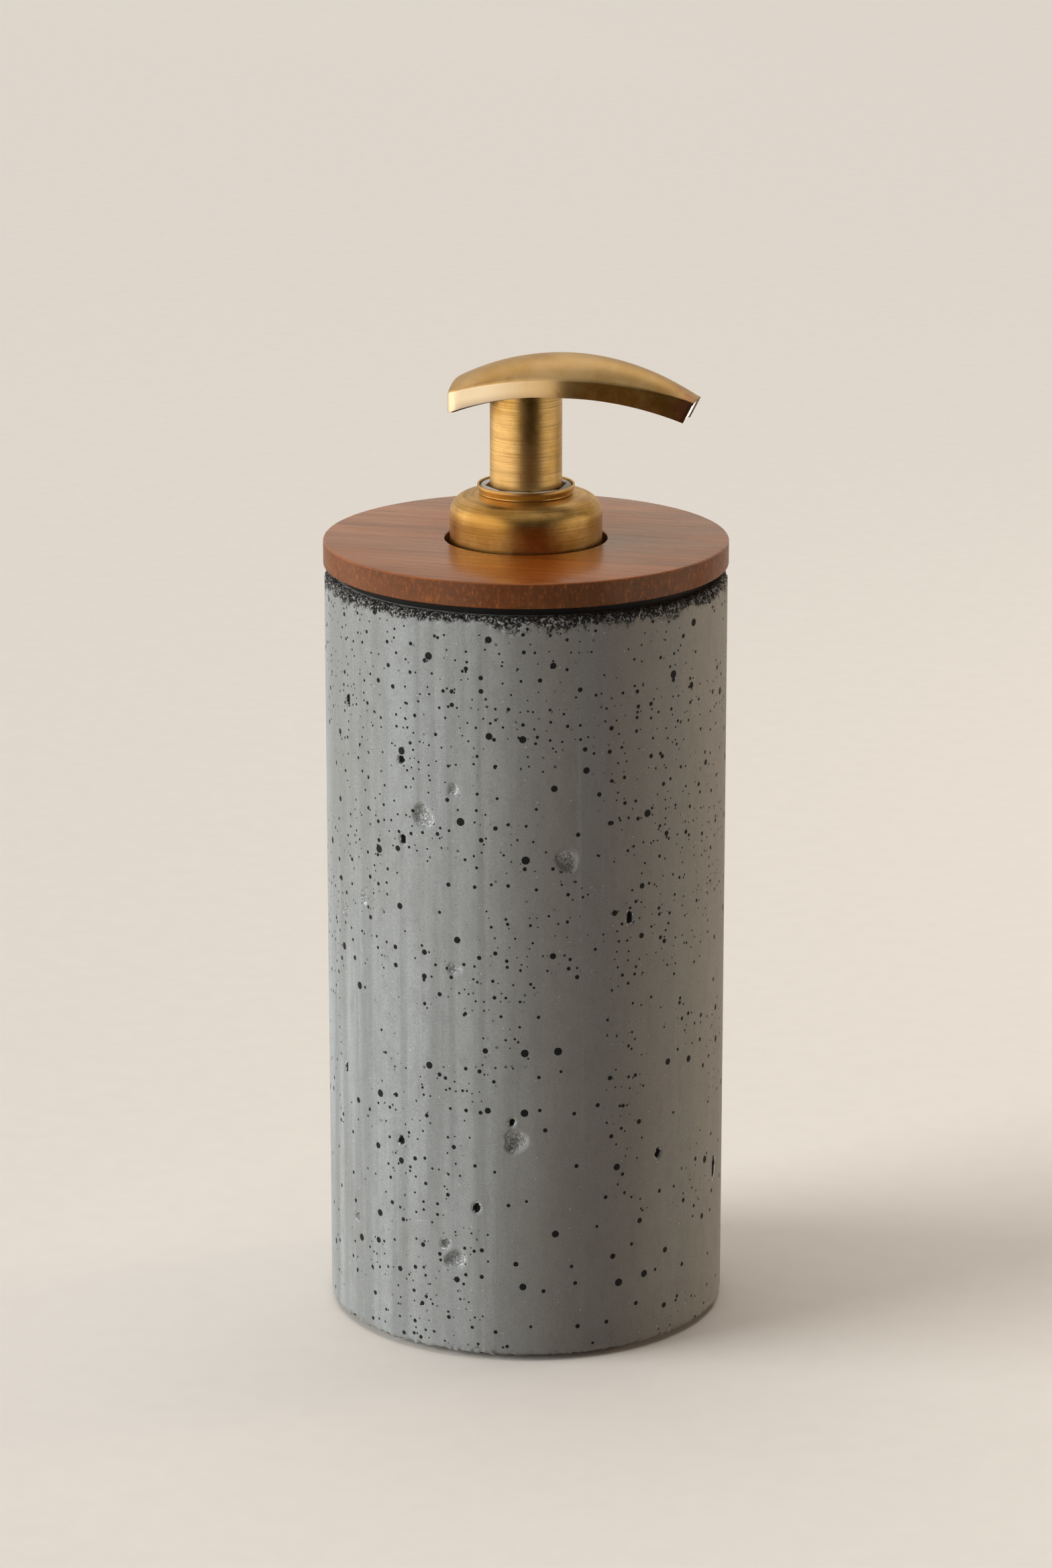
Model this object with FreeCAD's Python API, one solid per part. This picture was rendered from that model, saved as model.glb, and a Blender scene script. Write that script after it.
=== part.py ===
"""Soap pump dispenser: a cast concrete sleeve around a removable liner bottle, with a loose
wooden lid and a brass-clad lotion pump screwed to the bottle's neck.

Units are millimetres. +Z is up and is the axis of the vessel, the pump and every turned piece.
The origin is the centre of the base pad's underside. The spout points along +X at rest.
"""
import FreeCAD, Part
import math
import os

V = FreeCAD.Vector
OUT = "parts"
os.makedirs(OUT, exist_ok=True)

# ---- driving dimensions: vessel -------------------------------------------------------------
PAD_R, PAD_T = 35.0, 3.0
PAD_PROUD = 1.0
BODY_R = 40.0
BODY_TOP = 152.2
WALL = 9.0
CAVITY_R = BODY_R - WALL
CAVITY_FLOOR = 9.0
RIM_ROUND, FOOT_ROUND, MOUTH_ROUND = 1.1, 0.7, 0.6
FACE_GAP = 0.05            # between flat faces of pieces that move apart
SLIP = 0.05                # radial, between pieces that are pushed together

# ---- driving dimensions: lid ------------------------------------------------------------------
LID_R = 40.2
LID_BOTTOM, LID_TOP = 154.0, 159.0
LID_HOLE_R = 16.1
SPIGOT_R, SPIGOT_BOTTOM, SPIGOT_ROUND = 30.0, 150.5, 0.5
LID_EASE = 0.35            # eased edges of the disc
SEAL_R, SEAL_SKIRT_R = 37.5, 30.65

# ---- driving dimensions: liner bottle and its thread ------------------------------------------
LINER_R, LINER_WALL = 30.4, 0.9
LINER_BOTTOM = CAVITY_FLOOR + FACE_GAP
LINER_HEEL = 4.0
PUSH_UP, PUSH_UP_R = 1.0, 24.0         # the raised middle of the bottle's base
SHOULDER_START, SHOULDER_ROUND = 134.0, 10.0
NECK_R, NECK_BORE_R = 10.95, 9.6
NECK_BASE, NECK_TOP = 148.5, 163.5
THREAD_PITCH = 3.175
NECK_CREST_R = 12.0
NECK_RIDGE = (2.1, 0.95)               # width at the root and at the crest
NECK_THREAD_Z, NECK_THREAD_TURNS = 157.0, 1.5

# ---- driving dimensions: closure and its brass trim --------------------------------------------
COLLAR_R, COLLAR_SHEET = 15.1, 0.5
COLLAR_BOTTOM, COLLAR_TOP = 155.3, 168.0
COLLAR_FALL = 0.6                      # how far the crown falls from the hole to the shoulder
COLLAR_ROUND = 3.8
CLOSURE_R = COLLAR_R - COLLAR_SHEET - 0.1
CLOSURE_BOTTOM = COLLAR_BOTTOM + 0.3
CLOSURE_TOP = COLLAR_TOP - COLLAR_FALL - COLLAR_SHEET - 0.1
CLOSURE_ROOF = 1.1
CLOSURE_BORE_R, CLOSURE_CREST_R, CLOSURE_HOLE_R = 12.3, 11.25, 8.95
CLOSURE_RIDGE = (1.9, 0.8)
CLOSURE_THREAD_LAG_DEG = 135.0         # the cap's ridge starts this far round from the neck's
CLOSURE_THREAD_TURNS = 1.5
RING_TOP, RING_FLOOR = 169.9, 168.35
RING_BORE_R = 8.55
RING_FOOT_R, RING_LIP_R = 9.25, 9.65   # the ring flares from its foot to its lip
RING_PLUG = 0.3                        # how far above the flange the ring's neck ends

# ---- driving dimensions: pump engine ------------------------------------------------------------
STROKE = 15.0
FLANGE_R, FLANGE_T = 11.6, 1.5
FLANGE_TOP = CLOSURE_TOP - CLOSURE_ROOF - FACE_GAP
GASKET_TOP = FLANGE_TOP - FLANGE_T
GASKET_R = 11.4
BARREL_R, BARREL_BORE_R = 9.25, 8.45
BARREL_WALL = BARREL_R - BARREL_BORE_R
CHAMBER_R, CHAMBER_BORE_R = 6.7, 5.5
CHAMBER_TOP, CHAMBER_FLOOR = 141.0, 107.0
CAGE_R, CAGE_TOP, CAGE_BOTTOM = 3.3, 105.6, 102.0
CAGE_LIP_R = 2.3
CAGE_SLOTS, CAGE_SLOT_W, CAGE_SLOT_REACH = 3, 1.6, 3.3
SEAT_R, SEAT_BOTTOM = 1.8, 100.2
TAIL_R, TAIL_BOTTOM = 4.2, 86.0
TAIL_TAPER = (99.0, 104.5)             # heights between which the tail widens to the chamber
BARREL_TAPER = (2.2, 0.6)              # how far below the chamber's top the barrel widens
VENT_R, VENT_Z = 0.6, 145.5
SOCKET_R, SOCKET_TOP = 2.95, 98.5
BALL_R, BALL_Z = 2.5, 102.03
TUBE_R, TUBE_BORE_R, TUBE_BOTTOM = 2.9, 2.1, 14.0
TUBE_CUT_DEG = 35.0
GUIDE_R, GUIDE_BORE_R, GUIDE_BOTTOM = 8.4, 7.35, 158.5
GUIDE_FLANGE_R = 9.0
GUIDE_TOP = 169.65
GUIDE_MOUTH_SIDES = 8
GUIDE_MOUTH_FLAT, GUIDE_MOUTH_DEPTH = 7.55, 2.2    # apothem and depth of the octagonal mouth

# ---- driving dimensions: plunger ----------------------------------------------------------------
SLEEVE_R, SLEEVE_BORE_R, SLEEVE_BOTTOM = 7.13, 6.6, 166.2
STEM_R, STEM_BORE_R, STEM_TOP = 3.0, 1.9, 190.0
STEM_FOOT_R, STEM_SHOULDER, STEM_BOTTOM = 2.5, 139.6, 133.6
STOP_R, STOP_T = 7.9, 1.5
PISTON_TOP, PISTON_BOTTOM = 139.5, 133.5
PISTON_R, PISTON_HUB_R = CHAMBER_BORE_R - 0.08, 3.6
LIP_EDGE, LIP_DEPTH, WAIST_DEPTH, WAIST_SETBACK = 0.35, 1.2, 0.5, 1.6
PORT_R, PORT_Z = 0.8, 137.4
ROD_FLANGE_R, ROD_FLANGE_TOP, ROD_FLANGE_T = 4.6, 133.4, 1.5
ROD_TOP = 136.0
ROD_PILOT_R, ROD_PILOT_T, ROD_PILOT_EASE = 2.9, 2.0, 0.4
ROD_NOTCHES, ROD_NOTCH_W, ROD_NOTCH_R = 4, 1.6, 3.2
SPRING_R, SPRING_WIRE_R, SPRING_TURNS = 4.0, 0.45, 8.5
SPRING_WIRE_SIDES = 12
SPRING_GAP = 0.02          # between the spring's ends and what they push on

# ---- driving dimensions: head, seen from the side as three arcs (apex x, apex z, radius) --------
CROWN_ARC = (8.9, 196.3, 48.0)
CREASE_ARC = (9.7, 192.45, 76.0)
UNDER_ARC = (8.7, 189.0, 61.0)
CORE_UNDER_SHIFT = 1.0     # the core's underside arc sits this far towards the spout
HEAD_REAR = -14.6
HEAD_WAIST_X = 9.1         # where the plan is widest
HEAD_REAR_HALF, HEAD_WAIST_HALF, HEAD_TIP_HALF = 7.2, 8.5, 3.2
HEAD_TIP_X, HEAD_TIP_Z = 33.65, 186.6
HEAD_TIP_DROP_DEG = 27.0   # the end face looks this far below the horizontal
HEAD_WALL = 0.85
HEAD_REAR_ROUND, HEAD_WAIST_ROUND = 2.35, 7.0
CREASE_ROUND = 0.3
CHANNEL_R = 1.5
CHANNEL_RISE = 2.5         # the channel's arc runs this far above the underside arc
BOSS_BOTTOM = 182.5        # of the boss that the sleeve is pushed over
CORE_SETBACK = 2.0         # from the spout's end face to the core
NOZZLE_BORE_R = 1.2
NOZZLE_RECESS, NOZZLE_BACK = 0.25, 1.95    # the plate's front and back, behind the end face
STUB_WALL, STUB_BACK = 0.45, 5.9
LOW, HIGH = 175.0, 205.0   # heights that clear the head below and above
BLOCK = 60.0               # side of a cutting block, larger than the head


# ---- shape helpers --------------------------------------------------------------------------------
def turned(points):
    """A solid of revolution about Z from a closed outline of (radius, height) corners."""
    corners = [V(r, 0, z) for r, z in points]
    wire = Part.makePolygon(corners + corners[:1])
    return Part.Face(wire).revolve(V(0, 0, 0), V(0, 0, 1), 360)


def cylinder(radius, bottom, top):
    return Part.makeCylinder(radius, top - bottom, V(0, 0, bottom))


def tube(outer, inner, bottom, top):
    return turned([(inner, bottom), (outer, bottom), (outer, top), (inner, top)])


def rounded(shape, size, *rings):
    """Fillets the circular edges at each (radius, height)."""
    found = []
    for edge in shape.Edges:
        circle = edge.Curve
        if not isinstance(circle, Part.Circle):
            continue
        for r, z in rings:
            if abs(circle.Radius - r) < 1e-4 and abs(circle.Center.z - z) < 1e-4:
                found.append(edge)
    return shape.makeFillet(size, found)


def thread_ridge(root_r, crest_r, widths, start_z, turns):
    """A right-handed ridge of trapezoid section, wound about Z, for fusing to a wall at root_r."""
    root_width, crest_width = widths
    sink = 0.15 if root_r < crest_r else -0.15
    section = [V(root_r - sink, 0, -root_width / 2), V(crest_r, 0, -crest_width / 2),
               V(crest_r, 0, crest_width / 2), V(root_r - sink, 0, root_width / 2)]
    profile = Part.makePolygon(section + section[:1])
    path = Part.Wire(Part.makeHelix(THREAD_PITCH, THREAD_PITCH * turns, root_r))
    ridge = path.makePipeShell([profile], True, True)
    ridge.translate(V(0, 0, start_z))
    return ridge


def write(name, shape):
    shape = shape.removeSplitter()
    if not shape.isValid() or not shape.Solids:
        raise RuntimeError(name + " is not a valid solid")
    shape.exportStep(os.path.join(OUT, name + ".step"))
    print("%-16s %8.2f cm3  %d solid" % (name, shape.Volume / 1000.0, len(shape.Solids)))


# ---- vessel ---------------------------------------------------------------------------------------
def base_pad():
    return rounded(cylinder(PAD_R, 0, PAD_T), 0.4, (PAD_R, 0))


def concrete_body():
    recess_r = PAD_R + 0.4
    body = turned([
        (0, PAD_T), (recess_r, PAD_T), (recess_r, PAD_PROUD), (BODY_R, PAD_PROUD),
        (BODY_R, BODY_TOP), (CAVITY_R, BODY_TOP), (CAVITY_R, CAVITY_FLOOR), (0, CAVITY_FLOOR)])
    body = rounded(body, RIM_ROUND, (BODY_R, BODY_TOP))
    body = rounded(body, FOOT_ROUND, (BODY_R, PAD_PROUD))
    return rounded(body, MOUTH_ROUND, (CAVITY_R, BODY_TOP))


def liner_bottle():
    """A blow-moulded bottle: the neck's wall is thicker than the rest, and the base is pushed up."""
    r, w, b = LINER_R, LINER_WALL, LINER_BOTTOM
    flat_r = r - SHOULDER_ROUND
    flat_z = SHOULDER_START + SHOULDER_ROUND
    slope_z = NECK_BASE - 1.0
    outer = turned([
        (0, b + PUSH_UP), (PUSH_UP_R - 2, b + PUSH_UP), (PUSH_UP_R, b), (r, b), (r, flat_z),
        (flat_r, flat_z), (NECK_R + 1, slope_z), (NECK_R, NECK_BASE), (NECK_R, NECK_TOP), (0, NECK_TOP)])
    outer = rounded(outer, LINER_HEEL, (r, b))
    outer = rounded(outer, SHOULDER_ROUND - 0.5, (r, flat_z))
    inner = turned([
        (0, b + PUSH_UP + w), (PUSH_UP_R - 2, b + PUSH_UP + w), (PUSH_UP_R, b + w), (r - w, b + w),
        (r - w, flat_z - w), (flat_r, flat_z - w), (NECK_BORE_R + 1, slope_z - w),
        (NECK_BORE_R, NECK_BASE - w), (NECK_BORE_R, NECK_TOP), (0, NECK_TOP)])
    inner = rounded(inner, LINER_HEEL - w, (r - w, b + w))
    inner = rounded(inner, SHOULDER_ROUND - 0.5 - w, (r - w, flat_z - w))
    ridge = thread_ridge(NECK_R, NECK_CREST_R, NECK_RIDGE, NECK_THREAD_Z, NECK_THREAD_TURNS)
    return outer.cut(inner).fuse(ridge)


# ---- lid ------------------------------------------------------------------------------------------
def wooden_lid():
    disc = turned([
        (LID_HOLE_R, SPIGOT_BOTTOM), (SPIGOT_R, SPIGOT_BOTTOM), (SPIGOT_R, LID_BOTTOM),
        (LID_R, LID_BOTTOM), (LID_R, LID_TOP), (LID_HOLE_R, LID_TOP)])
    disc = rounded(disc, LID_EASE, (LID_R, LID_TOP), (LID_R, LID_BOTTOM), (LID_HOLE_R, LID_TOP))
    return rounded(disc, SPIGOT_ROUND, (SPIGOT_R, SPIGOT_BOTTOM))


def lid_seal():
    """A flat rubber ring under the disc, with a skirt that lines the mouth."""
    rim = BODY_TOP + FACE_GAP
    bore = SPIGOT_R + SLIP
    return turned([
        (bore, SPIGOT_BOTTOM), (SEAL_SKIRT_R, SPIGOT_BOTTOM), (SEAL_SKIRT_R, rim),
        (SEAL_R, rim), (SEAL_R, LID_BOTTOM), (bore, LID_BOTTOM)])


# ---- closure --------------------------------------------------------------------------------------
def closure_cap():
    """The threaded cap under the brass: its roof traps the housing's flange on the neck."""
    roof = CLOSURE_TOP - CLOSURE_ROOF
    cap = turned([
        (CLOSURE_BORE_R, CLOSURE_BOTTOM), (CLOSURE_R, CLOSURE_BOTTOM), (CLOSURE_R, CLOSURE_TOP),
        (CLOSURE_HOLE_R, CLOSURE_TOP), (CLOSURE_HOLE_R, roof), (CLOSURE_BORE_R, roof)])
    cap = rounded(cap, COLLAR_ROUND - COLLAR_SHEET, (CLOSURE_R, CLOSURE_TOP))
    lag = CLOSURE_THREAD_LAG_DEG
    start_z = NECK_THREAD_Z + THREAD_PITCH * (lag / 360 - 0.5)
    ridge = thread_ridge(CLOSURE_BORE_R, CLOSURE_CREST_R, CLOSURE_RIDGE, start_z, CLOSURE_THREAD_TURNS)
    ridge.rotate(V(0, 0, 0), V(0, 0, 1), lag)
    return cap.fuse(ridge)


def collar_form(inset, bottom):
    """The collar's solid form, drawn in by inset: upright wall, round shoulder, shallow crown."""
    r, top = COLLAR_R - inset, COLLAR_TOP - inset
    form = turned([(0, bottom), (r, bottom), (r, top - COLLAR_FALL), (CLOSURE_HOLE_R, top), (0, top)])
    return rounded(form, COLLAR_ROUND - inset, (r, top - COLLAR_FALL))


def collar_shell():
    """The drawn brass cover of the cap, open below, with a hole in its crown for the ring."""
    shell = collar_form(0.0, COLLAR_BOTTOM).cut(collar_form(COLLAR_SHEET, COLLAR_BOTTOM - 1))
    shell = shell.cut(cylinder(CLOSURE_HOLE_R, COLLAR_BOTTOM, COLLAR_TOP + 1))
    return rounded(shell, COLLAR_SHEET * 0.4, (COLLAR_R, COLLAR_BOTTOM))


def collar_ring():
    """The flared brass ring on the collar's crown; its neck is pressed through the shell and cap."""
    neck_r, seat = CLOSURE_HOLE_R - SLIP, COLLAR_TOP + 0.02
    neck_end = FLANGE_TOP + RING_PLUG
    foot, lip = RING_FOOT_R, RING_LIP_R
    return turned([
        (RING_BORE_R, neck_end), (neck_r, neck_end), (neck_r, seat),
        (foot, seat), (foot, seat + 0.4), (foot + 0.2, seat + 1.1),
        (lip, RING_TOP - 0.25), (lip - 0.05, RING_TOP - 0.05), (lip - 0.2, RING_TOP),
        (lip - 0.35, RING_TOP - 0.1), (lip - 0.45, RING_FLOOR + 0.6), (lip - 0.5, RING_FLOOR),
        (RING_BORE_R, RING_FLOOR)])


# ---- pump engine ----------------------------------------------------------------------------------
def pump_housing():
    """Flange, wide barrel for the sleeve's travel, narrow chamber, ball cage and tube socket."""
    body = turned([
        (BARREL_BORE_R, FLANGE_TOP), (BARREL_BORE_R, CHAMBER_TOP), (CHAMBER_BORE_R, CHAMBER_TOP),
        (CHAMBER_BORE_R, CHAMBER_FLOOR), (CAGE_LIP_R, CHAMBER_FLOOR), (CAGE_LIP_R, CAGE_TOP),
        (CAGE_R, CAGE_TOP), (CAGE_R, CAGE_BOTTOM), (SEAT_R, SEAT_BOTTOM), (SEAT_R, SOCKET_TOP),
        (SOCKET_R, SOCKET_TOP), (SOCKET_R, TAIL_BOTTOM), (TAIL_R, TAIL_BOTTOM),
        (TAIL_R, TAIL_TAPER[0]), (CHAMBER_R, TAIL_TAPER[1]),
        (CHAMBER_R, CHAMBER_TOP - BARREL_TAPER[0]), (BARREL_R, CHAMBER_TOP - BARREL_TAPER[1]),
        (BARREL_R, GASKET_TOP), (FLANGE_R, GASKET_TOP), (FLANGE_R, FLANGE_TOP)])
    slot_start = CAGE_LIP_R / 2
    slot_size = (CAGE_SLOT_REACH - slot_start, CAGE_SLOT_W, CHAMBER_FLOOR - CAGE_TOP + 2)
    for turn in range(CAGE_SLOTS):
        slot = Part.makeBox(*slot_size, V(slot_start, -CAGE_SLOT_W / 2, CAGE_TOP - 1))
        slot.rotate(V(0, 0, 0), V(0, 0, 1), turn * 360 / CAGE_SLOTS)
        body = body.cut(slot)
    vent_start = V(BARREL_R - 1.5 * BARREL_WALL, 0, VENT_Z)
    vent = Part.makeCylinder(VENT_R, 2 * BARREL_WALL, vent_start, V(1, 0, 0))
    return body.cut(vent)


def neck_gasket():
    return tube(GASKET_R, BARREL_R + SLIP, NECK_TOP + FACE_GAP, GASKET_TOP)


def stem_guide():
    """The snap-in guide: its flange holds the closure on the pump, and its mouth is octagonal."""
    flange_bottom = RING_FLOOR + 0.1
    guide = turned([
        (GUIDE_BORE_R, GUIDE_BOTTOM), (GUIDE_R, GUIDE_BOTTOM), (GUIDE_R, flange_bottom),
        (GUIDE_FLANGE_R, flange_bottom), (GUIDE_FLANGE_R, GUIDE_TOP), (GUIDE_BORE_R, GUIDE_TOP)])
    guide = rounded(guide, 0.25, (GUIDE_FLANGE_R, GUIDE_TOP))
    half_side = math.pi / GUIDE_MOUTH_SIDES
    corner = GUIDE_MOUTH_FLAT / math.cos(half_side)
    points = []
    for k in range(GUIDE_MOUTH_SIDES):
        angle = half_side * (2 * k + 1)
        points.append(V(corner * math.cos(angle), corner * math.sin(angle), GUIDE_TOP - GUIDE_MOUTH_DEPTH))
    mouth = Part.Face(Part.makePolygon(points + points[:1])).extrude(V(0, 0, GUIDE_MOUTH_DEPTH + 1))
    return guide.cut(mouth)


def dip_tube():
    """A plain tube whose foot is cut on the slant, so that it can't seal against the bottle."""
    straight = tube(TUBE_R, TUBE_BORE_R, TUBE_BOTTOM, SOCKET_TOP - 0.2)
    side = TUBE_BOTTOM + 2 * TUBE_R
    knife = Part.makeBox(side, side, side, V(-side / 2, -side / 2, -side))
    knife.rotate(V(0, 0, 0), V(0, 1, 0), TUBE_CUT_DEG)
    knife.translate(V(0, 0, TUBE_BOTTOM + TUBE_R * math.tan(math.radians(TUBE_CUT_DEG))))
    return straight.cut(knife)


def inlet_ball():
    return Part.makeSphere(BALL_R, V(0, 0, BALL_Z))


def return_spring():
    """The coil between the chamber's floor and the rod's flange, of many-sided wire."""
    low = CHAMBER_FLOOR + SPRING_WIRE_R + SPRING_GAP
    high = ROD_FLANGE_TOP - ROD_FLANGE_T - SPRING_WIRE_R - SPRING_GAP
    path = Part.Wire(Part.makeHelix((high - low) / SPRING_TURNS, high - low, SPRING_R))
    section = []
    for k in range(SPRING_WIRE_SIDES):
        angle = 2 * math.pi * k / SPRING_WIRE_SIDES
        section.append(V(SPRING_R + SPRING_WIRE_R * math.cos(angle), 0, SPRING_WIRE_R * math.sin(angle)))
    spring = path.makePipeShell([Part.makePolygon(section + section[:1])], True, True)
    spring.translate(V(0, 0, low))
    return spring


# ---- plunger --------------------------------------------------------------------------------------
def piston():
    """A soft double-lipped ring that floats on the stem's foot."""
    r, low, high = PISTON_R, PISTON_BOTTOM, PISTON_TOP
    bore, waist, hub = STEM_FOOT_R + 2 * SLIP, r - WAIST_DEPTH, PISTON_HUB_R
    edge, root = r - LIP_EDGE, waist - LIP_EDGE - SLIP
    land = WAIST_SETBACK / 2
    return turned([
        (bore, low), (hub, low), (hub, low + LIP_DEPTH), (root, low + LIP_DEPTH), (edge, low),
        (r, low), (r, low + land), (waist, low + WAIST_SETBACK), (waist, high - WAIST_SETBACK),
        (r, high - land), (r, high), (edge, high), (root, high - LIP_DEPTH),
        (hub, high - LIP_DEPTH), (hub, high), (bore, high)])


def pump_stem():
    """The hollow stem: a stop collar limits the up-stroke, and a cross port sits in the piston."""
    stop_top = GUIDE_BOTTOM - 0.2
    stem = turned([
        (STEM_BORE_R, STEM_BOTTOM), (STEM_FOOT_R, STEM_BOTTOM), (STEM_FOOT_R, STEM_SHOULDER),
        (STEM_R, STEM_SHOULDER), (STEM_R, stop_top - STOP_T), (STOP_R, stop_top - STOP_T),
        (STOP_R, stop_top), (STEM_R, stop_top), (STEM_R, STEM_TOP), (STEM_BORE_R, STEM_TOP)])
    port = Part.makeCylinder(PORT_R, 4 * STEM_FOOT_R, V(-2 * STEM_FOOT_R, 0, PORT_Z), V(1, 0, 0))
    return stem.cut(port)


def piston_rod():
    """The plug in the stem's foot: its flange holds the piston up and seats the spring."""
    low = ROD_FLANGE_TOP - ROD_FLANGE_T
    end = low - ROD_PILOT_T
    shaft_r, pilot_r = STEM_BORE_R - SLIP, ROD_PILOT_R
    rod = turned([
        (0, end), (pilot_r - ROD_PILOT_EASE, end), (pilot_r, end + ROD_PILOT_EASE), (pilot_r, low),
        (ROD_FLANGE_R, low), (ROD_FLANGE_R, ROD_FLANGE_TOP), (shaft_r, ROD_FLANGE_TOP),
        (shaft_r, ROD_TOP), (0, ROD_TOP)])
    for turn in range(ROD_NOTCHES):
        notch = Part.makeBox(
            ROD_FLANGE_R, ROD_NOTCH_W, 2 * ROD_FLANGE_T, V(ROD_NOTCH_R, -ROD_NOTCH_W / 2, low - SLIP))
        notch.rotate(V(0, 0, 0), V(0, 0, 1), (turn + 0.5) * 360 / ROD_NOTCHES)
        rod = rod.cut(notch)
    return rod


# ---- head -----------------------------------------------------------------------------------------
def arc_height(arc, x):
    """The height at x of an arc given as (apex x, apex z, radius)."""
    apex_x, apex_z, radius = arc
    return apex_z - radius + math.sqrt(radius ** 2 - (x - apex_x) ** 2)


def plan_half(x):
    """The head's half width at x, before its corners are rounded."""
    if x < HEAD_WAIST_X:
        share = (x - HEAD_REAR) / (HEAD_WAIST_X - HEAD_REAR)
        return HEAD_REAR_HALF + share * (HEAD_WAIST_HALF - HEAD_REAR_HALF)
    share = (x - HEAD_WAIST_X) / (HEAD_TIP_X - HEAD_WAIST_X)
    return HEAD_WAIST_HALF + share * (HEAD_TIP_HALF - HEAD_WAIST_HALF)


def plan_prism(inset):
    """The head's plan, drawn in by inset, as a tall block with rounded upright edges."""
    rear, front = HEAD_REAR + inset, HEAD_TIP_X + 4
    halves = [(x, plan_half(x) - inset) for x in (rear, HEAD_WAIST_X, front)]
    corners = [V(x, -h, LOW) for x, h in halves] + [V(x, h, LOW) for x, h in reversed(halves)]
    block = Part.Face(Part.makePolygon(corners + corners[:1])).extrude(V(0, 0, HIGH - LOW))

    def upright(at):
        """The vertical edges whose x is at."""
        return [e for e in block.Edges if abs(e.Vertexes[0].X - at) < 1e-4
                and abs(e.Vertexes[0].X - e.Vertexes[-1].X) < 1e-6
                and abs(e.Vertexes[0].Y - e.Vertexes[-1].Y) < 1e-6]

    block = block.makeFillet(HEAD_REAR_ROUND - inset, upright(rear))
    return block.makeFillet(HEAD_WAIST_ROUND, upright(HEAD_WAIST_X))


def dome(inset):
    """Everything under the head's crowned top, drawn in by inset: arcs across the head that pass
    through the crease on each side and the crown in the middle, joined along it."""
    spill = 0.25
    sections = []
    for x in range(-18, 37, 6):
        half = plan_half(x)
        crown = arc_height(CROWN_ARC, x)
        rise = crown - arc_height(CREASE_ARC, x)
        bend = (half ** 2 + rise ** 2) / (2 * rise)
        wide = half - inset + spill
        edge = crown - bend + math.sqrt((bend - inset) ** 2 - wide ** 2)
        left, right = V(x, -wide, edge), V(x, wide, edge)
        low_left, low_right = V(x, -wide, LOW), V(x, wide, LOW)
        over = Part.Arc(left, V(x, 0, crown - inset), right).toShape()
        sides = [Part.makeLine(right, low_right), Part.makeLine(low_right, low_left),
                 Part.makeLine(low_left, left)]
        sections.append(Part.Wire([over] + sides))
    return Part.makeLoft(sections, True, False)


def below_arc(arc, shift=0.0):
    """A cylinder across the head that fills the space under an arc."""
    apex_x, apex_z, radius = arc
    start = V(apex_x + shift, -BLOCK / 2, apex_z - radius)
    return Part.makeCylinder(radius, BLOCK, start, V(0, 1, 0))


def past_tip(back):
    """A block ahead of the end face, moved back along the spout by back."""
    block = Part.makeBox(BLOCK, BLOCK, BLOCK, V(-back, -BLOCK / 2, -BLOCK / 2))
    block.rotate(V(0, 0, 0), V(0, 1, 0), HEAD_TIP_DROP_DEG)
    block.translate(V(HEAD_TIP_X, 0, HEAD_TIP_Z))
    return block


def envelope(inset):
    return plan_prism(inset).common(dome(inset))


def head_shell():
    """The brass cover: crowned top and upright sides, open below and at the spout's end."""
    outer = envelope(0.0).cut(below_arc(UNDER_ARC)).cut(past_tip(0.0))
    crease = [e for e in outer.Edges if on_crease(e)]
    outer = outer.makeFillet(CREASE_ROUND, crease)
    return outer.cut(envelope(HEAD_WALL))


def on_crease(edge):
    """Whether an edge runs along the line where the crowned top meets the upright sides."""
    for share in (0.1, 0.5, 0.9):
        low, high = edge.ParameterRange
        p = edge.valueAt(low + share * (high - low))
        top = arc_height(CREASE_ARC, p.x)
        if abs(p.z - top) > 0.6 or abs(abs(p.y) - plan_half(p.x)) > 1.2 and p.x > HEAD_REAR + 3:
            return False
    return True


def channel(extra_r=0.0):
    """The soap's way along the spout: a round bore on an arc above the underside."""
    apex_x, apex_z, radius = UNDER_ARC
    centre = V(apex_x, 0, apex_z - radius)
    bend = radius + CHANNEL_RISE
    start = V(apex_x, 0, apex_z + CHANNEL_RISE)
    ring = Part.Face(Part.Wire(Part.makeCircle(CHANNEL_R + extra_r, start, V(1, 0, 0))))
    back = math.degrees(math.asin(apex_x / bend))
    ahead = math.degrees(math.asin((HEAD_TIP_X + 3 - apex_x) / bend))
    ring.rotate(centre, V(0, 1, 0), -back)
    return ring.revolve(centre, V(0, 1, 0), back + ahead)


def stem_socket():
    """The socket for the stem, and the way from it up into the channel."""
    way_up = cylinder(STEM_BORE_R, LOW, arc_height(UNDER_ARC, 0) + CHANNEL_RISE + CHANNEL_R / 2)
    return cylinder(STEM_R + 0.02, LOW, STEM_TOP + 0.02).fuse(way_up)


def actuator_core():
    """The plastic inside of the head: a boss for the sleeve, a socket for the stem, the channel."""
    filler = envelope(HEAD_WALL + SLIP).cut(below_arc(UNDER_ARC, CORE_UNDER_SHIFT))
    filler = filler.cut(past_tip(CORE_SETBACK))
    boss = cylinder(SLEEVE_BORE_R - SLIP, BOSS_BOTTOM, arc_height(UNDER_ARC, 0) + 1.0)
    stub_seat = channel(STUB_WALL + SLIP).cut(behind_tip(STUB_BACK + 2 * SLIP))
    return filler.fuse(boss).cut(stem_socket()).cut(channel()).cut(stub_seat)


def behind_tip(back):
    """A block that fills everything further than back behind the end face."""
    block = Part.makeBox(2 * BLOCK, BLOCK, BLOCK, V(-2 * BLOCK - back, -BLOCK / 2, -BLOCK / 2))
    block.rotate(V(0, 0, 0), V(0, 1, 0), HEAD_TIP_DROP_DEG)
    block.translate(V(HEAD_TIP_X, 0, HEAD_TIP_Z))
    return block


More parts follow.
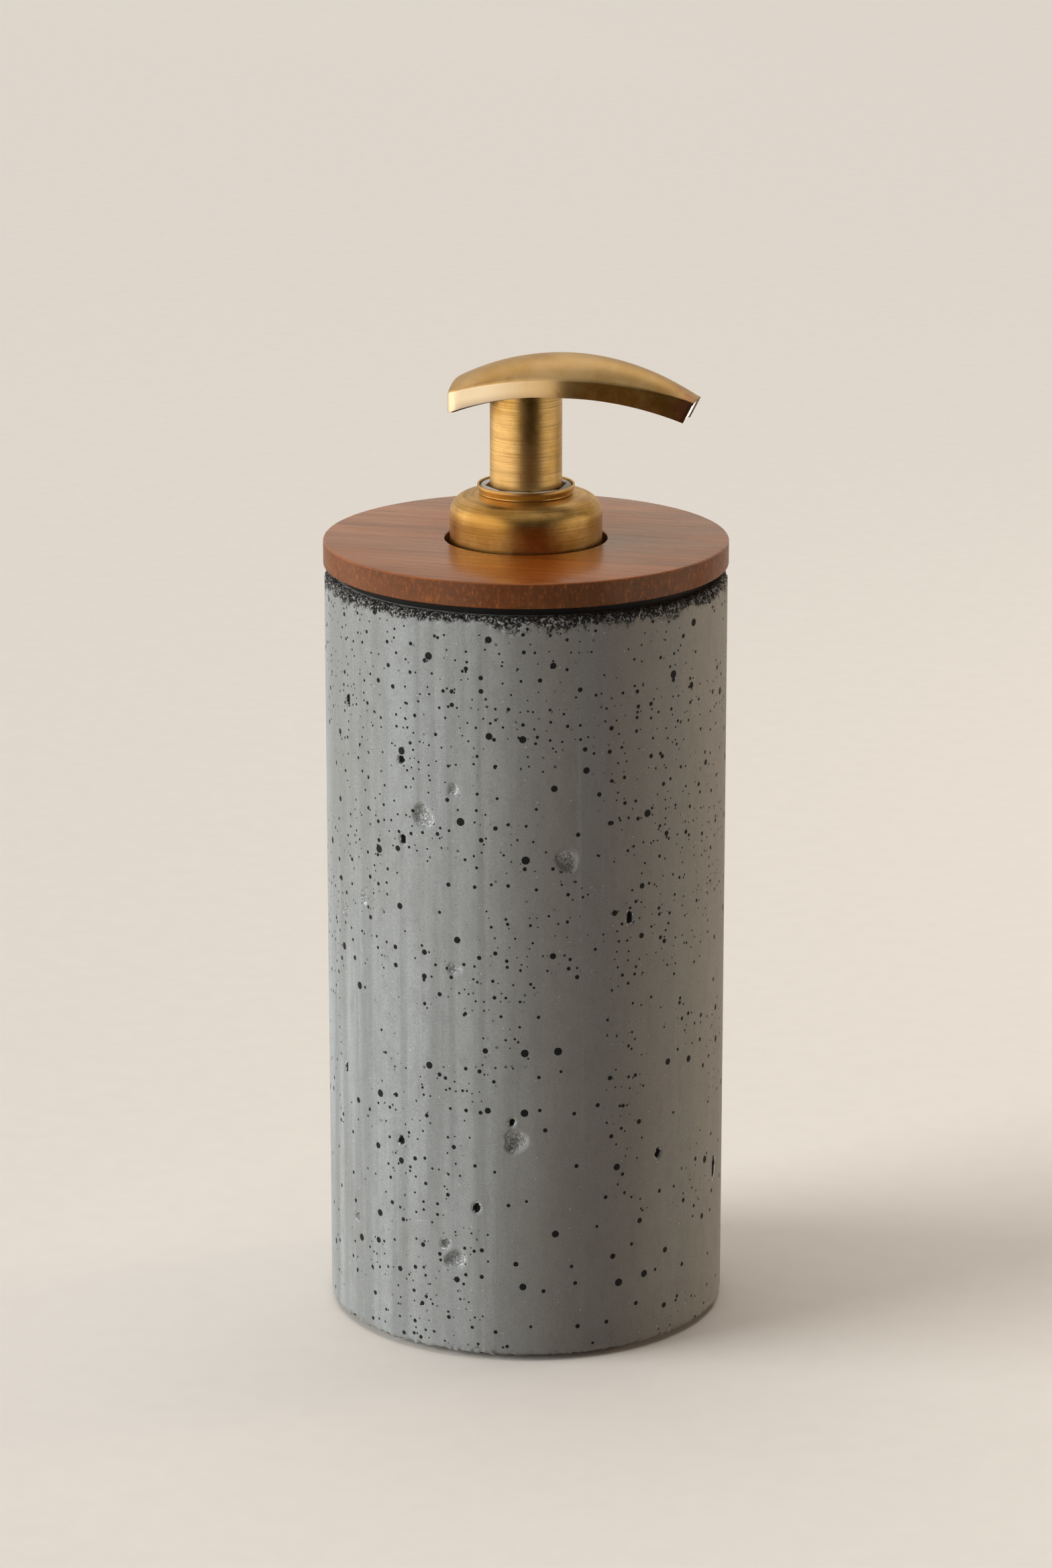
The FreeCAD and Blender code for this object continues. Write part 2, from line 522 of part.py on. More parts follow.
def nozzle_tip():
    """The pale outlet piece: a plate that closes the spout's end and a stub in the channel."""
    plate = envelope(HEAD_WALL + 2 * SLIP).cut(below_arc(UNDER_ARC, CORE_UNDER_SHIFT))
    plate = plate.cut(past_tip(NOZZLE_RECESS)).cut(behind_tip(NOZZLE_BACK))
    stub = channel(STUB_WALL).cut(past_tip(NOZZLE_RECESS)).cut(behind_tip(STUB_BACK))
    return plate.fuse(stub).cut(channel(NOZZLE_BORE_R - CHANNEL_R))


def stem_sleeve():
    """The brushed brass tube between the collar and the head; its top follows the underside."""
    sleeve = tube(SLEEVE_R, SLEEVE_BORE_R, SLEEVE_BOTTOM, STEM_TOP + 2)
    under = below_arc((UNDER_ARC[0], UNDER_ARC[1] - 0.02, UNDER_ARC[2]), CORE_UNDER_SHIFT)
    return rounded(sleeve.common(under), 0.15, (SLEEVE_R, SLEEVE_BOTTOM))


SUB_PARTS = [
    base_pad, concrete_body, liner_bottle, wooden_lid, lid_seal, closure_cap, collar_shell,
    collar_ring, pump_housing, neck_gasket, stem_guide, dip_tube, inlet_ball, return_spring,
    piston, pump_stem, piston_rod, head_shell, actuator_core, nozzle_tip, stem_sleeve]

for sub_part in SUB_PARTS:
    write(sub_part.__name__, sub_part())
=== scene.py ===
"""The looks of a soap pump dispenser: cast concrete, oiled wood and aged brass around the CAD frame."""
import math

import bmesh
import bpy
import numpy as np
from mathutils import Matrix, Vector, noise


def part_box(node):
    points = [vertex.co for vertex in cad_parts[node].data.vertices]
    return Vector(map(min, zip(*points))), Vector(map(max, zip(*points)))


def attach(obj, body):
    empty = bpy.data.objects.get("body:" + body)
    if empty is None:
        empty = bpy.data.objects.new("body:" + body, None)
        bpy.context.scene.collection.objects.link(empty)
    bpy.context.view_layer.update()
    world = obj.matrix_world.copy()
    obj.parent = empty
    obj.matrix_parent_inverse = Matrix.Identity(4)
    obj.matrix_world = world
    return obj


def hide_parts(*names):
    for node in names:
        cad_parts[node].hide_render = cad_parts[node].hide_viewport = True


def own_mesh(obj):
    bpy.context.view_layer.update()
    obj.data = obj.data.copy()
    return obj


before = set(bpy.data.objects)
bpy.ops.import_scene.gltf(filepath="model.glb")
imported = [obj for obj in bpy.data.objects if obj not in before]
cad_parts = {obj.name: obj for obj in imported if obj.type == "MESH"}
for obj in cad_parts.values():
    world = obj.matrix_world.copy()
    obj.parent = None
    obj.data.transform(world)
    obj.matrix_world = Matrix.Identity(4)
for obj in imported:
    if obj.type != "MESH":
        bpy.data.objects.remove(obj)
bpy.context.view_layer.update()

MM = 0.001
TAU = 2 * math.pi

# ---- places read from the frame, in millimetres --------------------------------------------------


def span(node):
    """A node's lowest and highest corners in millimetres."""
    low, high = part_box(node)
    return [c / MM for c in low], [c / MM for c in high]


BODY_LOW, BODY_HIGH = span("concrete_body")
LID_LOW, LID_HIGH = span("wooden_lid")
COLLAR_LOW, COLLAR_HIGH = span("collar_shell")
RING_LOW, RING_HIGH = span("collar_ring")
SLEEVE_LOW, SLEEVE_HIGH = span("stem_sleeve")
SPRING_LOW, SPRING_HIGH = span("return_spring")
HEAD_LOW, HEAD_HIGH = span("head_shell")

# ---- sizes that the frame's boxes don't show, in millimetres, as in part.py ----------------------
CAVITY_R, CAVITY_FLOOR = 31.0, 9.0
PAD_TOP, RECESS_R = 3.0, 35.4
RIM_ROUND, FOOT_ROUND = 1.1, 0.7
LID_HOLE_R, SPIGOT_R, LID_BOTTOM = 16.1, 30.0, 154.0
COLLAR_SHEET, COLLAR_FALL, COLLAR_ROUND, COLLAR_HOLE_R = 0.5, 0.6, 3.8, 8.95
RING_BORE_R, RING_FLOOR = 8.55, 168.35
SLEEVE_BORE_R = 6.6
SLEEVE_STRAIGHT_TOP, SLEEVE_TRIM = 186.0, 190.0     # its wall's last plain row, and its blank's top
SPRING_R, SPRING_WIRE_R, SPRING_TURNS = 4.0, 0.45, 8.5
CROWN_ARC = (8.9, 196.3, 48.0)       # apex x, apex z, radius
CREASE_ARC = (9.7, 192.45, 76.0)
UNDER_ARC = (8.7, 189.0, 61.0)
UNDER_SHIFT = 1.0
HEAD_WAIST_X, HEAD_REAR_HALF, HEAD_WAIST_HALF, HEAD_TIP_HALF = 9.1, 7.2, 8.5, 3.2
HEAD_TIP_X, HEAD_TIP_Z, HEAD_TIP_DROP_DEG = 33.65, 186.6, 27.0
HEAD_WALL, HEAD_REAR_ROUND = 0.85, 2.35
HEAD_LEAN_FROM_X = 14.0              # ahead of this the stations lean towards the end face
HEAD_WAIST_SOFT, HEAD_REAR_EDGE, HEAD_EDGE_EASE = 0.9, 0.9, 0.12

# ---- the camera and the studio -------------------------------------------------------------------
CAMERA_AZIMUTH = math.radians(15.0)
CAMERA_DISTANCE, CAMERA_HEIGHT = 0.9794, 0.3845
CAMERA_PITCH = math.radians(15.76)
CAMERA_LENS = 116.37
LEFT_CARD, RIGHT_CARD, BACK_CARD, TOP_CARD = 1.5, 0.95, 0.62, 0.4
ROOM_LIGHT, ROOM_REFLECTED, WALL_SHOWN = 0.03, 0.025, 0.72
ROOM_COLOUR = (1.0, 0.89, 0.74, 1.0)
KEY_ANGLE, KEY_STRENGTH, KEY_COLOUR = 42, 4.25, (0.98, 1.0, 1.0)
OVERHEAD_ANGLE, OVERHEAD_STRENGTH, OVERHEAD_COLOUR = 55, 1.72, (1.0, 0.955, 0.91)
STRIP_WIDTH, STRIP_HEIGHT, STRIP_WATTS, STRIP_COLOUR = 0.2, 0.14, 4.6, (1.0, 0.8, 0.6)


# ---- mesh helpers --------------------------------------------------------------------------------
def piece(name, points, faces, smooth_angle=35.0):
    """A new mesh object from millimetre points; edges sharper than smooth_angle stay crisp."""
    mesh = bpy.data.meshes.new(name)
    mesh.from_pydata([tuple(p) for p in np.asarray(points, float) * MM], [], faces)
    mesh.validate()
    shade(mesh, smooth_angle)
    made = bpy.data.objects.new(name, mesh)
    bpy.context.scene.collection.objects.link(made)
    return made


def shade(mesh, smooth_angle):
    mesh.polygons.foreach_set("use_smooth", [True] * len(mesh.polygons))
    mesh.set_sharp_from_angle(angle=math.radians(smooth_angle))
    mesh.update()


def outline(corners, steps=5):
    """A closed outline of (r, z) points from (r, z, rounding) corners."""
    points = []
    count = len(corners)
    for k, (r, z, rounding) in enumerate(corners):
        here = Vector((r, z))
        back = Vector(corners[k - 1][:2]) - here
        ahead = Vector(corners[(k + 1) % count][:2]) - here
        if rounding <= 0:
            points.append((r, z))
            continue
        back.normalize()
        ahead.normalize()
        half = back.angle(ahead) / 2
        centre = here + (back + ahead).normalized() * (rounding / math.sin(half))
        first = here + back * (rounding / math.tan(half)) - centre
        turn = first.angle_signed(here + ahead * (rounding / math.tan(half)) - centre)
        for s in range(steps + 1):
            spoke = first.copy()
            spoke.rotate(Matrix.Rotation(-turn * s / steps, 2))
            points.append(tuple(centre + spoke))
    return points


def turned(name, profile, segments=192, smooth_angle=35.0):
    """A closed ring of the profile turned about Z."""
    angles = np.arange(segments) * TAU / segments
    x, y = np.cos(angles), np.sin(angles)
    rings = [np.stack([r * x, r * y, np.full(segments, z)], 1) for r, z in profile]
    faces = ring_faces(len(profile), segments, closed=True)
    return piece(name, np.concatenate(rings), faces, smooth_angle)


def ring_faces(rows, columns, closed):
    """Quads between rows of points that run round an axis; closed joins the last row to the first."""
    faces = []
    for i in range(rows if closed else rows - 1):
        low, high = i * columns, (i + 1) % rows * columns
        for j in range(columns):
            k = (j + 1) % columns
            faces.append((low + j, low + k, high + k, high + j))
    return faces


def settle(made):
    """Makes the normals point outwards and applies every modifier."""
    if made.modifiers:
        graph = bpy.context.evaluated_depsgraph_get()
        final = bpy.data.meshes.new_from_object(made.evaluated_get(graph))
        made.modifiers.clear()
        made.data = final
    work = bmesh.new()
    work.from_mesh(made.data)
    bmesh.ops.recalc_face_normals(work, faces=work.faces)
    work.to_mesh(made.data)
    work.free()
    return made


# ---- material helpers ----------------------------------------------------------------------------
class Finish:
    """A node material around one Principled shader, with short names for the nodes it needs."""

    def __init__(self, name, **sockets):
        self.material = bpy.data.materials.new(name)
        self.material.use_nodes = True
        self.tree = self.material.node_tree
        self.shader = self.tree.nodes["Principled BSDF"]
        for label, value in sockets.items():
            self.shader.inputs[label.replace("_", " ")].default_value = value
        self.here = self.tree.nodes.new("ShaderNodeTexCoord").outputs["Object"]

    def node(self, kind, inputs=None, **settings):
        made = self.tree.nodes.new("ShaderNode" + kind)
        for label, value in settings.items():
            setattr(made, label, value)
        for label, value in (inputs or {}).items():
            self.plug(value, made.inputs[label])
        return made

    def plug(self, value, socket):
        if isinstance(value, bpy.types.NodeSocket):
            self.tree.links.new(value, socket)
        else:
            socket.default_value = value

    def drive(self, label, value):
        self.plug(value, self.shader.inputs[label])

    def place(self, scale, turn=0.0, shift=0.0):
        """The object's own coordinates, turned about Z and scaled per metre."""
        mapping = self.node("Mapping", {"Vector": self.here, "Scale": scale})
        mapping.inputs["Rotation"].default_value = (0, 0, turn)
        mapping.inputs["Location"].default_value = (shift, shift * 0.7, shift * 0.3)
        return mapping.outputs["Vector"]

    def noise(self, where, detail=4.0, rough=0.55, warp=0.0):
        made = self.node("TexNoise", {"Vector": where, "Scale": 1.0, "Detail": detail,
                                      "Roughness": rough, "Distortion": warp})
        return made.outputs["Fac"]

    def math(self, operation, a, b=0.0, c=0.0, clamp=False):
        made = self.node("Math", {0: a, 1: b, 2: c}, operation=operation, use_clamp=clamp)
        return made.outputs[0]

    def spread(self, value, low, high, new_low=0.0, new_high=1.0):
        """Maps low..high onto new_low..new_high with soft ends."""
        made = self.node("MapRange", {"Value": value, "From Min": low, "From Max": high,
                                      "To Min": new_low, "To Max": new_high},
                         interpolation_type="SMOOTHSTEP")
        return made.outputs["Result"]

    def mix(self, share, a, b):
        made = self.node("Mix", data_type="RGBA", blend_type="MIX")
        self.plug(share, made.inputs[0])
        self.plug(a, made.inputs[6])
        self.plug(b, made.inputs[7])
        return made.outputs[2]

    def attribute(self, name):
        return self.node("Attribute", attribute_name=name).outputs["Fac"]

    def bump(self, height, distance, strength):
        inputs = {"Height": height, "Distance": distance, "Strength": strength}
        return self.node("Bump", inputs).outputs["Normal"]

    def upward(self):
        """How far the surface faces up, from -1 to 1."""
        parts = self.node("SeparateXYZ", {"Vector": self.node("NewGeometry").outputs["Normal"]})
        return parts.outputs["Z"]


def rgb(r, g, b):
    """An opaque colour from 0..255 screen values."""
    def linear(v):
        v /= 255
        return v / 12.92 if v <= 0.04045 else ((v + 0.055) / 1.055) ** 2.4
    return (linear(r), linear(g), linear(b), 1.0)


def round_the_wall(finish):
    """Distance round the vessel's wall and height, in metres. The seam is at the back."""
    toward = math.pi / 2 - CAMERA_AZIMUTH
    parts = finish.node("SeparateXYZ", {"Vector": finish.place((1, 1, 1), toward)})
    turn = finish.math("ARCTAN2", parts.outputs["Y"], parts.outputs["X"])
    round_it = finish.math("MULTIPLY", turn, BODY_HIGH[0] * MM)
    return finish.node("CombineXYZ", {"X": round_it, "Y": parts.outputs["Z"]}).outputs[0]


def dots(finish, cell, small, large, share, shift, wall=None):
    """Round spots scattered one to a cell, as a 0..1 mask; sizes in metres. Small ones are commoner."""
    settings = {}
    if wall is None:
        where = finish.place((1 / cell,) * 3, shift=shift)
    else:
        inputs = {0: wall, 1: (1 / cell,) * 3, 2: (shift, shift * 0.7, 0)}
        where = finish.node("VectorMath", inputs, operation="MULTIPLY_ADD").outputs[0]
        settings["voronoi_dimensions"] = "2D"
    cells = finish.node("TexVoronoi", {"Vector": where, "Scale": 1.0, "Randomness": 1.0}, **settings)
    parts = finish.node("SeparateColor", {"Color": cells.outputs["Color"]})
    skewed = finish.math("POWER", parts.outputs[0], 2.5)
    size = finish.math("MULTIPLY_ADD", skewed, (large - small) / cell, small / cell)
    edge = finish.math("SUBTRACT", size, cells.outputs["Distance"])
    mask = finish.spread(edge, 0.0, 0.05e-3 / cell)
    chosen = finish.math("LESS_THAN", parts.outputs[1], share)
    return finish.math("MULTIPLY", mask, chosen)


# ---- materials -----------------------------------------------------------------------------------
def air_holes(f, wall, low_down):
    """The small round holes of three sizes. They gather in crowds and thin out near the foot."""
    sparse = f.spread(low_down, 0.02, 0.11, 0.13, 0.0)
    gather = f.math("SUBTRACT", f.noise(f.place((46, 46, 46), shift=6), detail=3), sparse)
    crowd = f.spread(gather, 0.42, 0.54)
    large = dots(f, 0.0064, 0.00032, 0.00084, 0.62, 0.0, wall)
    medium = dots(f, 0.0029, 0.00022, 0.00048, 0.52, 3.0, wall)
    small = dots(f, 0.0019, 0.00016, 0.00032, 0.36, 11.0, wall)
    medium = f.math("MULTIPLY", medium, f.math("GREATER_THAN", gather, 0.43))
    small = f.math("MULTIPLY", small, crowd)
    return f.math("MAXIMUM", large, f.math("MAXIMUM", medium, small))


def concrete_finish():
    """Grey concrete: streaks, clouds, craters and a broken foot; a brown band that is partly stained and
    partly painted shade; air holes and voids painted black as painted shade; a broken rim painted dark,
    partly as painted shade.
    """
    f = Finish("cast_concrete", Roughness=0.78, IOR=1.45)
    wall = round_the_wall(f)
    streaks = f.noise(f.place((170, 170, 6)), detail=6, rough=0.62, warp=0.3)
    clouds = f.noise(f.place((30, 30, 14), shift=3), detail=5, rough=0.6)
    mottle = f.noise(f.place((420, 420, 210), shift=8), detail=5, rough=0.65)
    grain = f.noise(f.place((3200, 3200, 3200)), detail=3, rough=0.75)
    pale, deep = rgb(157, 161, 162), rgb(134, 137, 137)
    colour = f.mix(f.spread(streaks, 0.38, 0.62), deep, pale)
    colour = f.mix(f.spread(clouds, 0.35, 0.7, 0.0, 0.5), colour, rgb(134, 134, 131))
    colour = f.mix(f.spread(mottle, 0.42, 0.72, 0.0, 0.32), colour, rgb(116, 117, 115))
    drips = f.noise(f.place((520, 520, 12), shift=9), detail=4)
    colour = f.mix(f.spread(drips, 0.58, 0.76, 0.0, 0.3), colour, rgb(176, 177, 175))
    colour = f.mix(f.spread(grain, 0.35, 0.72, 0.0, 0.4), colour, rgb(92, 90, 88))
    across = f.node("SeparateXYZ", {"Vector": wall}).outputs["X"]
    # A brown band on the front's centre-right: partly stained concrete, partly painted shade where the
    # wall turns away from the key light.
    band = f.math("MULTIPLY", f.spread(across, -0.016, 0.01), f.spread(across, 0.045, 0.1, 1.0, 0.0))
    brown_stain_and_shade = f.math("MULTIPLY", band, f.spread(streaks, 0.3, 0.6, 0.3, 1.0))
    colour = f.mix(f.math("MULTIPLY", brown_stain_and_shade, 0.55), colour, rgb(108, 100, 89))
    specks = dots(f, 0.0022, 0.00004, 0.00014, 0.3, 5.0, wall)
    colour = f.mix(f.math("MULTIPLY", specks, 0.6), colour, rgb(230, 229, 224))

    attribute = f.attribute("void")
    not_dark = f.spread(attribute, 0.3, 0.6, 1.0, 0.0)
    crater = f.math("MULTIPLY", f.spread(attribute, 0.01, 0.06), not_dark)
    gravel = f.noise(f.place((2300, 2300, 2300), shift=4), detail=3, rough=0.8)
    sand = f.spread(gravel, 0.44, 0.58)
    inside = f.mix(sand, rgb(138, 140, 141), rgb(232, 234, 234))
    colour = f.mix(f.math("MULTIPLY", crater, 0.75), colour, inside)

    low_down = f.node("SeparateXYZ", {"Vector": f.here}).outputs["Z"]
    holes = f.math("MULTIPLY", air_holes(f, wall, low_down), f.math("SUBTRACT", 1.0, crater))
    holes = f.math("MULTIPLY", holes, f.spread(f.upward(), 0.4, 0.7, 1.0, 0.0))
    # The voids' darkness adds painted shade: dark voids are painted black like the holes.
    holes = f.math("MAXIMUM", holes, f.spread(attribute, 0.3, 0.8), clamp=True)

    rim = f.attribute("rim")
    crumbs = f.noise(f.place((900, 900, 520), shift=2), detail=5, rough=0.85)
    ragged = f.math("ADD", rim, f.math("MULTIPLY", f.math("SUBTRACT", crumbs, 0.5), 1.3))
    broken = f.spread(ragged, 0.46, 0.6)
    glints = f.spread(f.noise(f.place((1900, 1900, 1900), shift=7), detail=2, rough=0.7), 0.5, 0.63)
    # The broken rim band is painted near black: partly crumbled concrete, partly painted shade under the
    # lid's edge.
    crumb_and_shade_colour = f.mix(glints, rgb(30, 29, 30), rgb(150, 150, 148))
    colour = f.mix(broken, colour, crumb_and_shade_colour)
    # The holes are painted near black: painted shade inside them.
    colour = f.mix(holes, colour, rgb(12, 15, 20))
    ragged_foot = f.math("ADD", low_down, f.math("MULTIPLY", crumbs, 0.0022))
    foot = f.spread(ragged_foot, 0.0016, 0.0028, 1.0, 0.0)
    chips = f.mix(glints, rgb(98, 92, 84), rgb(196, 186, 168))
    colour = f.mix(f.math("MULTIPLY", foot, 0.7), colour, chips)
    f.drive("Base Color", colour)

    height = f.math("ADD", f.math("MULTIPLY", grain, 0.07), f.math("MULTIPLY", mottle, 0.05))
    height = f.math("SUBTRACT", height, f.math("MULTIPLY", holes, 0.9))
    height = f.math("ADD", height, f.math("MULTIPLY", f.math("MULTIPLY", crater, sand), 0.35))
    height = f.math("SUBTRACT", height, f.math("MULTIPLY", f.math("MULTIPLY", broken, crumbs), 0.8))
    f.drive("Normal", f.bump(height, 0.0005, 0.8))
    f.drive("Roughness", f.spread(grain, 0.2, 0.8, 0.68, 0.86))
    return f.material


def brass_finish(name, pale, deep, brushed=0.0, sides=False):
    """Satin aged brass. brushed draws fine lines round the axis; sides paints a highlight on the rear
    upright faces and painted shade with tarnish on the front ones.
    """
    f = Finish(name, Metallic=1.0, Roughness=0.32)
    brown = rgb(108, 72, 26)
    cloud = f.noise(f.place((90, 90, 90)), detail=5, rough=0.6)
    colour = f.mix(f.spread(cloud, 0.36, 0.66), deep, pale)
    tarnish = f.noise(f.place((380, 380, 380), shift=4), detail=7, rough=0.7)
    colour = f.mix(f.spread(tarnish, 0.56, 0.8, 0.0, 0.5), colour, brown)
    spots = dots(f, 0.0042, 0.00004, 0.00013, 0.25, 2.0)
    colour = f.mix(f.math("MULTIPLY", spots, 0.7), colour, rgb(40, 24, 12))
    rough = f.spread(cloud, 0.3, 0.7, 0.30, 0.42)
    height = f.math("MULTIPLY", tarnish, 0.2)
    if brushed:
        lines = f.noise(f.place((60, 60, 4800)), detail=4, rough=0.72)
        colour = f.mix(f.spread(lines, 0.42, 0.72, 0.0, 0.45), colour, brown)
        height = f.math("ADD", height, f.math("MULTIPLY", lines, brushed))
        rough = f.math("ADD", rough, f.spread(lines, 0.3, 0.7, -0.03, 0.06))
    if sides:
        upright = f.spread(f.upward(), 0.15, 0.4, 1.0, 0.0)
        along = f.node("SeparateXYZ", {"Vector": f.here}).outputs["X"]
        ahead = f.spread(along, 0.004, 0.015)
        stain_and_shade = f.spread(f.noise(f.place((260, 260, 260), shift=8), detail=5, rough=0.65), 0.3, 0.62)
        cover = f.math("ADD", f.math("MULTIPLY", stain_and_shade, 0.35), 0.6)
        # The rear upright faces are painted pale: a painted highlight.
        behind = f.math("MULTIPLY", upright, f.spread(along, -0.008, 0.008, 0.75, 0.0))
        colour = f.mix(behind, colour, rgb(248, 236, 212))
        # The front upright faces are painted dark olive: painted shade, mottled with tarnish, and a
        # little rougher.
        wear_and_shade = f.math("MULTIPLY", f.math("MULTIPLY", upright, ahead), cover)
        colour = f.mix(wear_and_shade, colour, rgb(136, 94, 26))
        tip = f.math("MULTIPLY", f.spread(along, 0.028, 0.0340), stain_and_shade)
        colour = f.mix(f.math("MULTIPLY", tip, 0.7), colour, rgb(150, 96, 82))
        rough = f.math("ADD", rough, f.math("MULTIPLY", wear_and_shade, 0.12))
    f.drive("Base Color", colour)
    f.drive("Roughness", rough)
    f.drive("Normal", f.bump(height, 0.00003, 0.6))
    return f.material


def wood_finish():
    f = Finish("oiled_wood", Roughness=0.4, Coat_Weight=0.3, Coat_Roughness=0.16, Coat_IOR=1.5,
               Specular_IOR_Level=1.0, Specular_Tint=(1.0, 0.76, 0.46, 1.0))
    turn = -CAMERA_AZIMUTH
    bend = f.noise(f.place((14, 40, 20), turn), detail=2)
    sway = f.node("CombineXYZ", {"Y": f.math("MULTIPLY", bend, 0.006)}).outputs[0]
    drift = f.node("VectorMath", {0: f.here, 1: sway}, operation="ADD").outputs[0]
    grain_scale = {"Vector": drift, "Scale": (26, 720, 720), "Rotation": (0, 0, turn)}
    fibres = f.noise(f.node("Mapping", grain_scale).outputs[0], detail=7, rough=0.7)
    bands = f.noise(f.place((7, 110, 110), turn, 5), detail=4)
    pores = f.noise(f.place((70, 2900, 2900), turn, 2), detail=2, rough=0.6)
    colour = f.mix(f.spread(bands, 0.33, 0.67), rgb(110, 46, 7), rgb(150, 74, 20))
    colour = f.mix(f.spread(fibres, 0.42, 0.68, 0.0, 0.55), colour, rgb(78, 28, 5))
    colour = f.mix(f.spread(pores, 0.58, 0.75, 0.0, 0.55), colour, rgb(38, 14, 5))
    end_grain = f.spread(f.upward(), 0.25, 0.7, 1.0, 0.0)
    torn = f.noise(f.place((1500, 1500, 700), shift=6), detail=5, rough=0.8)
    flecks = f.mix(f.spread(torn, 0.5, 0.66), rgb(56, 23, 8), rgb(138, 74, 32))
    colour = f.mix(f.math("MULTIPLY", end_grain, 0.7), colour, flecks)
    f.drive("Base Color", colour)
    rough = f.spread(fibres, 0.3, 0.7, 0.22, 0.36)
    f.drive("Roughness", f.math("MAXIMUM", rough, f.math("MULTIPLY", end_grain, 0.7)))
    dips = f.spread(pores, 0.55, 0.75)
    height = f.math("SUBTRACT", f.math("MULTIPLY", fibres, 0.6), f.math("MULTIPLY", dips, 0.6))
    height = f.math("ADD", height, f.math("MULTIPLY", f.math("MULTIPLY", torn, end_grain), 2.5))
    f.drive("Normal", f.bump(height, 0.00009, 0.7))
    return f.material


def plastic_finish(name, colour, roughness=0.45, see_through=0.0, mottle=0.12, painted_glow=0.0):
    f = Finish(name, Roughness=roughness, Transmission_Weight=see_through, IOR=1.5,
               Emission_Color=colour, Emission_Strength=painted_glow)
    flow = f.noise(f.place((90, 90, 90)), detail=4)
    shade_of = tuple(c * 0.78 for c in colour[:3]) + (1.0,)
    f.drive("Base Color", f.mix(f.spread(flow, 0.3, 0.7, 0.0, mottle * 4), colour, shade_of))
    f.drive("Roughness", f.spread(flow, 0.3, 0.7, roughness - 0.05, roughness + 0.08))
    f.drive("Normal", f.bump(f.noise(f.place((1500, 1500, 1500)), detail=2), 0.00002, 0.4))
    return f.material


def rubber_finish(name, colour):
    f = Finish(name, Roughness=0.75)
    dust = f.noise(f.place((700, 700, 700)), detail=5, rough=0.7)
    grey = tuple(c * 1.8 + 0.01 for c in colour[:3]) + (1.0,)
    f.drive("Base Color", f.mix(f.spread(dust, 0.5, 0.75, 0.0, 0.6), colour, grey))
    f.drive("Normal", f.bump(dust, 0.00008, 0.5))
    return f.material


def steel_finish():
    f = Finish("spring_wire", Metallic=1.0, Roughness=0.3)
    drawn = f.noise(f.place((900, 900, 2400)), detail=3)
    f.drive("Base Color", f.mix(f.spread(drawn, 0.3, 0.7), rgb(150, 150, 152), rgb(196, 196, 196)))
    f.drive("Roughness", f.spread(drawn, 0.3, 0.7, 0.22, 0.4))
    return f.material


def floor_finish():
    f = Finish("pale_paper", Roughness=0.9)
    fibre = f.noise(f.place((160, 160, 160)), detail=4)
    f.drive("Base Color", f.mix(f.spread(fibre, 0.3, 0.7), rgb(228, 222, 215), rgb(230, 224, 217)))
    f.drive("Normal", f.bump(fibre, 0.0002, 0.15))
    return f.material


def coat(made, material):
    made.data.materials.clear()
    made.data.materials.append(material)


# ---- the concrete body ---------------------------------------------------------------------------
# The craters that catch the eye: across from the middle of the front as a share of
# the radius, up as a share of the height, half width and half height in mm, and darkness.
FRONT_CRATERS = [
    (-0.5, 0.73, 2.2, 2.3, 0.15), (0.2, 0.68, 2.2, 2.0, 0.05), (-0.05, 0.3, 2.4, 2.1, 0.1),
    (-0.35, 0.13, 2.2, 1.7, 0.1), (-0.4, 0.15, 1.0, 1.3, 0.5), (-0.35, 0.53, 1.3, 1.2, 0.15),
    (-0.8, 0.6, 1.0, 1.5, 0.4), (-0.9, 0.57, 1.1, 1.6, 0.4), (-0.35, 0.77, 1.2, 1.1, 0.3),
    (-0.85, 0.15, 1.1, 1.0, 0.5), (0.95, 0.2, 1.1, 2.8, 0.9)]
FRONT_DEG = -75.0          # the direction that the middle of the front looks in
BACK_CRATERS, DARK_VOIDS = 9, 18
CRATER_DEPTH = 0.65        # as a share of the half width
VOID_SEED = 24
BODY_COLUMNS, BODY_ROWS = 640, 340
RIM_REACH, FOOT_REACH = 9, 3         # how far from the ends the wall may be broken, in millimetres


def all_voids():
    """Every void as angle in degrees, height, half width, half height, depth and darkness."""
    foot, whole = BODY_LOW[2], BODY_HIGH[2] - BODY_LOW[2]
    voids = []
    for across, up, wide, tall, shade_of in FRONT_CRATERS:
        degrees = FRONT_DEG + math.degrees(math.asin(across))
        voids.append((degrees, foot + up * whole, wide, tall, CRATER_DEPTH * wide, shade_of))
    draw = np.random.default_rng(VOID_SEED)
    for _ in range(BACK_CRATERS):
        degrees = FRONT_DEG + 180 + draw.uniform(-80, 80)
        wide = draw.uniform(1.1, 2.3)
        height = foot + whole * draw.uniform(0.1, 0.85)
        voids.append((degrees, height, wide, wide * draw.uniform(0.8, 1.2), CRATER_DEPTH * wide, 0.15))
    for _ in range(DARK_VOIDS):
        wide = draw.uniform(0.5, 0.9)
        height = foot + whole * draw.uniform(0.08, 0.95)
        voids.append((draw.uniform(0, 360), height, wide, wide * draw.uniform(1.1, 1.8), 1.0, 1.0))
    return voids


